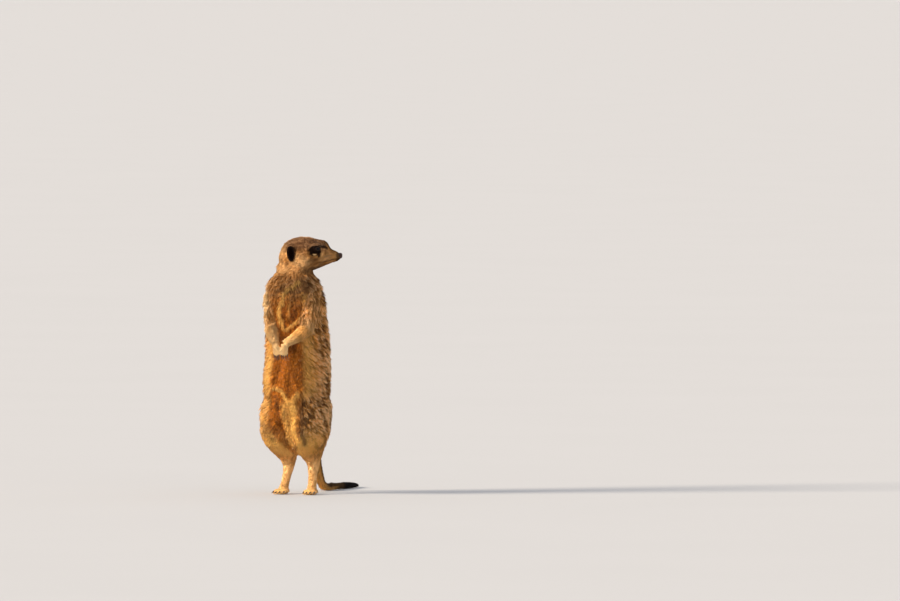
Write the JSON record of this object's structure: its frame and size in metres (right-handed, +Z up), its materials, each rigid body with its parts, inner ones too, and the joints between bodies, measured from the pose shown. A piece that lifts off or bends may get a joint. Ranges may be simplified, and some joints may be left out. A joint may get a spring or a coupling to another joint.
{
  "type": "meerkat",
  "caption": "Upright standing meerkat, a still life-size model propped on its hind toes and tail, with the hands held at the belly and the head turned over one shoulder.",
  "frame": {"origin": "on the floor, under the middle of the whole model's bounding box", "axes": "+Z up; the belly faces -Y and the tail lies towards +Y; the animal's own left is +X, which is where the nose points"},
  "size_m": [0.0946, 0.2136, 0.2979],
  "materials": {
    "coat": "short dense fur, grizzled tan",
    "pale_coat": "short pale fur",
    "belly_coat": "thin warm brown fur",
    "ear": "very short black fur",
    "eye": "wet dark eyeball",
    "nose": "bare damp skin",
    "claw": "dark horn",
    "tail_tip": "short black fur"
  },
  "bodies": {
    "root": {"abdomen": "belly_coat", "chest": "coat", "ear_left": "ear", "ear_right": "ear", "eye_left": "eye", "eye_right": "eye", "foot_left": "pale_coat", "foot_right": "pale_coat", "fore_claw_left_1": "claw", "fore_claw_left_2": "claw", "fore_claw_left_3": "claw", "fore_claw_left_4": "claw", "fore_claw_right_1": "claw", "fore_claw_right_2": "claw", "fore_claw_right_3": "claw", "fore_claw_right_4": "claw", "forearm_left": "pale_coat", "forearm_right": "pale_coat", "hand_left": "pale_coat", "hand_right": "pale_coat", "head": "coat", "hind_claw_left_1": "claw", "hind_claw_left_2": "claw", "hind_claw_left_3": "claw", "hind_claw_left_4": "claw", "hind_claw_right_1": "claw", "hind_claw_right_2": "claw", "hind_claw_right_3": "claw", "hind_claw_right_4": "claw", "neck": "coat", "nose": "nose", "pelvis": "coat", "shank_left": "pale_coat", "shank_right": "pale_coat", "tail_base": "coat", "tail_middle": "coat", "tail_tip": "tail_tip", "thigh_left": "coat", "thigh_right": "coat", "upper_arm_left": "coat", "upper_arm_right": "coat"}
  },
  "joints": []
}
